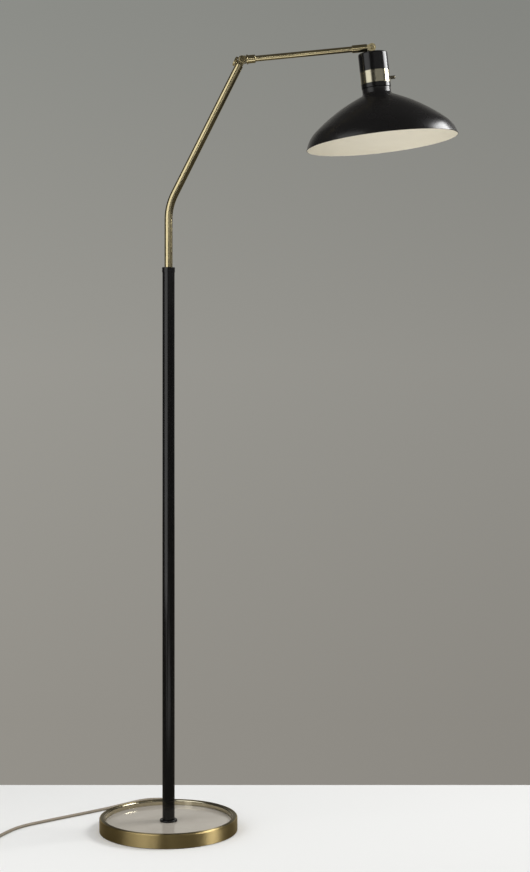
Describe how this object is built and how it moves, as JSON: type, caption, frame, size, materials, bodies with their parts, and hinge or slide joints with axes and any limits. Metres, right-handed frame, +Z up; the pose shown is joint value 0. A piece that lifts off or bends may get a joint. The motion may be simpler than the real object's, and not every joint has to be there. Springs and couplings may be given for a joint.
{
  "type": "task floor lamp",
  "caption": "Task floor lamp: weighted dish base with a pale inlay, black pole, bent brass arm, clamped elbow and a tilting bell shade.",
  "frame": {"origin": "on the floor at the pole's axis", "axes": "+Z up along the pole, +X towards the lamp's head, +Y to the back, where the cord leaves the base"},
  "size_m": [1.0324, 0.4038, 1.5979],
  "materials": {
    "felt": "matte felt",
    "plain_steel": "zinc plated",
    "cast_iron": "rough cast",
    "antique_brass": "satin antique",
    "pale_stone": "polished",
    "black_paint": "satin",
    "shade_paint": "satin black outside, cream white inside",
    "insert_alloy": "turned",
    "bush_plastic": "moulded",
    "cord_plastic": "satin",
    "tie_plastic": "satin",
    "lead_plastic": "satin",
    "bright_brass": "bright",
    "holder_porcelain": "glazed",
    "bulb_alloy": "bright",
    "frosted_glass": "frosted"
  },
  "bodies": {
    "stand": {"base_pad": "felt", "base_plate": "plain_steel", "plate_screws": "plain_steel", "base_weight": "cast_iron", "base_pan": "antique_brass", "base_inlay": "pale_stone", "lamp_pipe": "plain_steel", "pipe_washer": "plain_steel", "pipe_nut": "plain_steel", "pole_flange": "black_paint", "pole_insert": "insert_alloy", "pole_tube": "black_paint", "pole_cap": "black_paint", "swivel_bush": "bush_plastic", "cord_bushing": "cord_plastic", "cord_inner": "cord_plastic", "lead_stand": "lead_plastic", "power_cord": "cord_plastic", "cord_coil": "cord_plastic", "cord_tail": "cord_plastic", "cord_tie": "tie_plastic", "plug_body": "cord_plastic", "plug_blades": "bright_brass"},
    "lower_arm": {"lower_arm_tube": "antique_brass", "elbow_clamp": "antique_brass", "lead_lower_arm": "lead_plastic"},
    "elbow_knob": {"clamp_knob": "antique_brass", "clamp_screw": "plain_steel"},
    "upper_arm": {"elbow_fork": "antique_brass", "elbow_pin": "antique_brass", "elbow_nut": "antique_brass", "elbow_washers": "plain_steel", "upper_arm_tube": "antique_brass", "head_fork": "antique_brass", "head_pin": "antique_brass", "head_nut": "antique_brass", "head_washers": "plain_steel", "lead_upper_arm": "lead_plastic"},
    "head": {"head_tang": "antique_brass", "tang_nut": "plain_steel", "housing_cup": "black_paint", "brass_band": "antique_brass", "lip_ring": "black_paint", "shade": "shade_paint", "shade_ring": "insert_alloy", "lamp_holder": "holder_porcelain", "screw_shell": "bright_brass", "centre_contact": "bright_brass", "bulb_base": "bulb_alloy", "bulb_glass": "frosted_glass", "switch_body": "bush_plastic", "lead_head": "lead_plastic"},
    "switch_dial": {"switch_knob": "antique_brass", "switch_shaft": "plain_steel"}
  },
  "joints": [
    {"name": "arm_swivel", "type": "hinge", "parent": "stand", "child": "lower_arm", "pos_m": [0, 0, 1.139], "axis": [0, 0, 1], "range_deg": [-170, 170]},
    {"name": "elbow_tilt", "type": "hinge", "parent": "lower_arm", "child": "upper_arm", "pos_m": [0.14935, 0, 1.56446], "axis": [0, -1, 0], "range_deg": [-35, 70]},
    {"name": "clamp_turn", "type": "hinge", "parent": "lower_arm", "child": "elbow_knob", "pos_m": [0.14553, 0, 1.55686], "axis": [-0.8934, 0, 0.4493], "range_deg": [0, 360]},
    {"name": "head_tilt", "type": "hinge", "parent": "upper_arm", "child": "head", "pos_m": [0.41313, 0, 1.58986], "axis": [0, -1, 0], "range_deg": [-5, 85]},
    {"name": "switch_turn", "type": "hinge", "parent": "head", "child": "switch_dial", "pos_m": [0.42013, 0, 1.52544], "axis": [0.9942, 0, 0.108], "continuous": true}
  ]
}
